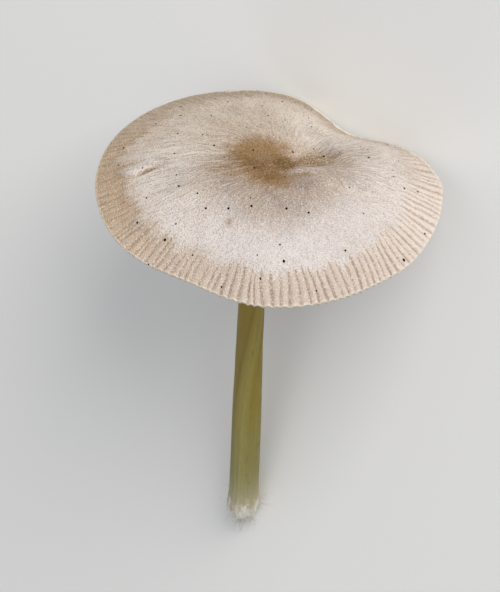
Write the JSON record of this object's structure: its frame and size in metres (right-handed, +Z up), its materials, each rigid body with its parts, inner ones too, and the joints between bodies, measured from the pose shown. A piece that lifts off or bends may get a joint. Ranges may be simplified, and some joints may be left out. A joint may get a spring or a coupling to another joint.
{
  "type": "lilac bonnet mushroom",
  "caption": "Small picked mushroom lying on its side: thin, wide, folded cap with a finely lined rim, crowded gills beneath and a slender, slightly bent stem.",
  "frame": {"origin": "middle of the underside of the object's box, on the surface that it lies on", "axes": "+Z up from the surface, +Y from the stem's foot towards the cap, +X to the right of that"},
  "size_m": [0.0508, 0.0712, 0.0441],
  "materials": {
    "cap": "pale pinkish beige skin, smooth and dry, browner in the middle and at the rim",
    "gills": "matt, whitish with a greyish pink tinge",
    "stem": "watery olive ochre, finely fibrous, with a slight sheen"
  },
  "bodies": {
    "root": {"cap": "cap", "gills": "gills", "stem": "stem"}
  },
  "joints": []
}
